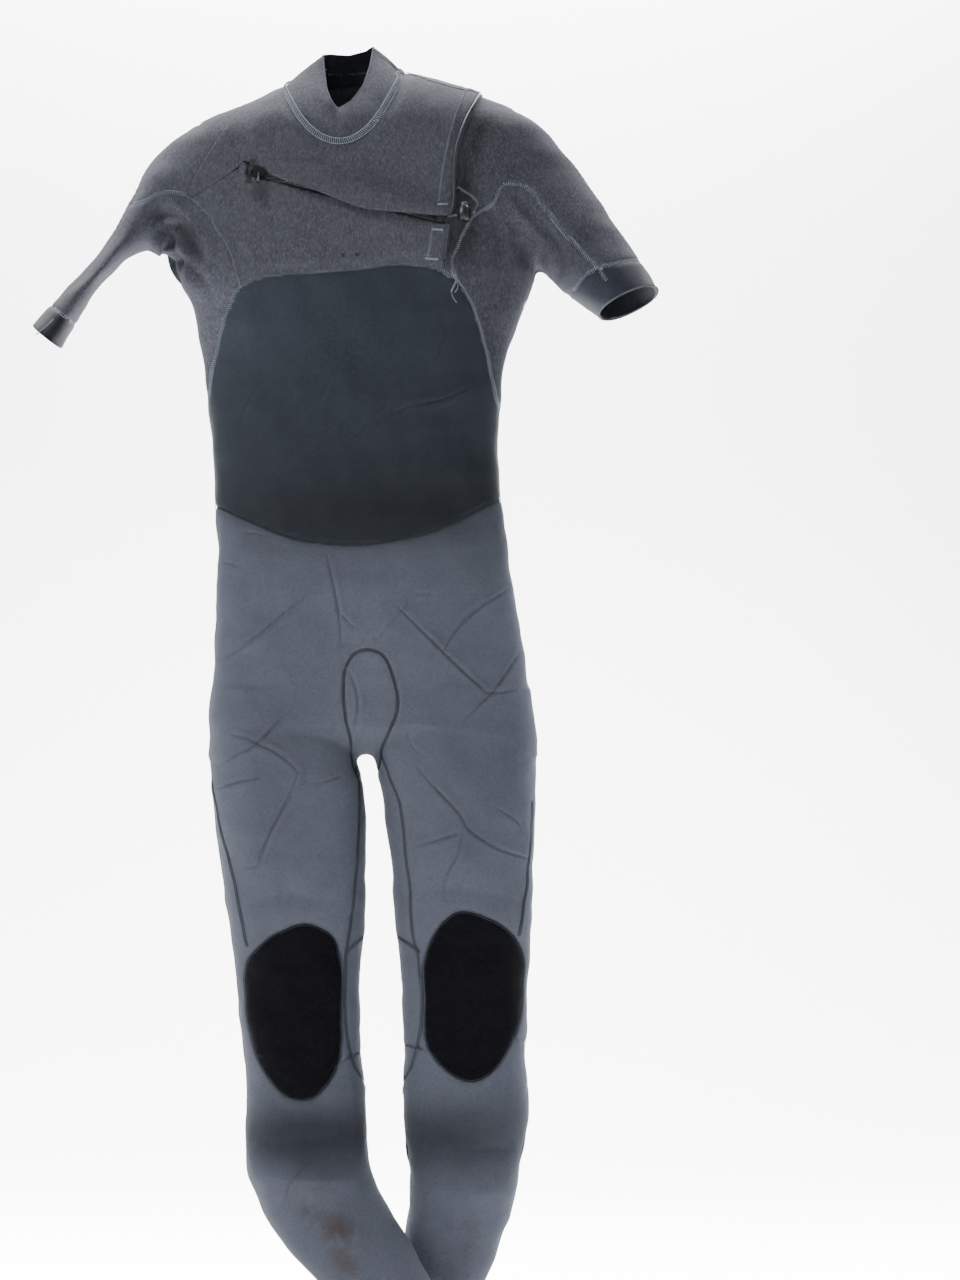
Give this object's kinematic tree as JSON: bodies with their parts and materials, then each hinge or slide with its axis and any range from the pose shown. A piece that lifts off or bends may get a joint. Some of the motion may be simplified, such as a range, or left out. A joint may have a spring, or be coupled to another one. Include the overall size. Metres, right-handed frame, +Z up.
{
  "type": "wetsuit",
  "caption": "Full-leg wetsuit with short sleeves, stand-up collar, a slanted chest zip under an overlapping entry flap, knee pads and a drawcord lock, hanging by its shoulders.",
  "frame": {"origin": "middle of the hanger line inside the shoulders, where the suit's weight is carried", "axes": "+Z up, the front of the suit faces -Y, +X to the wearer's left"},
  "size_m": [0.7172, 0.1899, 1.5299],
  "materials": {
    "barrier": "thin smooth-skin neoprene",
    "binding": "glued smooth rubber edge",
    "button": "pale grey moulded plastic",
    "chest": "dark heather stretch jersey on neoprene",
    "cord": "black braided elastic cord",
    "cuff": "smooth skin neoprene",
    "jersey": "dark heather stretch jersey on neoprene",
    "knee": "near-black abrasion-proof fabric",
    "leg": "blue-grey stretch jersey with a light sheen",
    "lock": "black moulded plastic",
    "pull": "bare metal, lightly worn",
    "slider": "dark coated metal",
    "spring": "steel wire",
    "tape": "black woven zip tape",
    "tooth": "black moulded resin",
    "torso": "near-black fine-ribbed neoprene"
  },
  "bodies": {
    "suit": {"back_torso_panel": "torso", "back_yoke_panel": "jersey", "collar": "jersey", "cord_eyelet": "lock", "crotch_gusset": "leg", "draw_cord": "cord", "entry_flap": "chest", "flap_edge_binding": "binding", "front_thigh_panel": "leg", "front_torso_panel": "torso", "inner_barrier": "barrier", "left_ankle_cuff": "cuff", "left_back_thigh_panel": "leg", "left_behind_knee_panel": "leg", "left_calf_panel": "leg", "left_inner_leg_panel": "leg", "left_knee_panel": "knee", "left_shin_panel": "leg", "left_shoulder_panel": "jersey", "left_sleeve_back": "jersey", "left_sleeve_cuff": "cuff", "left_underarm_panel": "jersey", "lower_chest_panel": "chest", "lower_edge_binding": "binding", "right_ankle_cuff": "cuff", "right_back_thigh_panel": "leg", "right_behind_knee_panel": "leg", "right_calf_panel": "leg", "right_inner_leg_panel": "leg", "right_knee_panel": "knee", "right_shin_panel": "leg", "right_shoulder_panel": "jersey", "right_sleeve_back": "jersey", "right_sleeve_cuff": "cuff", "right_underarm_panel": "jersey", "zip_end_stop": "tooth", "zip_garage": "chest", "zip_insertion_box": "tooth", "zip_tape_lower": "tape", "zip_tape_upper": "tape", "zip_teeth_lower": "tooth", "zip_teeth_upper": "tooth"},
    "slider": {"zip_slider": "slider"},
    "pull_link": {"pull_link": "pull"},
    "pull_tab": {"pull_tab": "pull"},
    "cord_lock": {"cord_lock_body": "lock", "lock_spring": "spring"},
    "lock_button": {"cord_lock_button": "button"}
  },
  "joints": [
    {"name": "zip_slide", "type": "slide", "parent": "suit", "child": "slider", "axis": [0.9694, 0, -0.2454], "range_m": [0, 0.19]},
    {"name": "pull_link_hinge", "type": "hinge", "parent": "slider", "child": "pull_link", "pos_m": [-0.1003, -0.0671, -0.11924], "axis": [-0.9694, 0, 0.2454], "range_deg": [0, 150]},
    {"name": "pull_tab_swing", "type": "hinge", "parent": "pull_link", "child": "pull_tab", "pos_m": [-0.10253, -0.0671, -0.12806], "axis": [0, 1, 0], "range_deg": [-45, 45]},
    {"name": "cord_lock_slide", "type": "slide", "parent": "suit", "child": "cord_lock", "axis": [0.9463, -0.3233, 0], "range_m": [-0.006, 0.001]},
    {"name": "lock_button_press", "type": "slide", "parent": "cord_lock", "child": "lock_button", "axis": [0, 0, -1], "range_m": [0, 0.003], "stiffness_N_per_m": 600, "deforming": ["lock_spring"]}
  ]
}
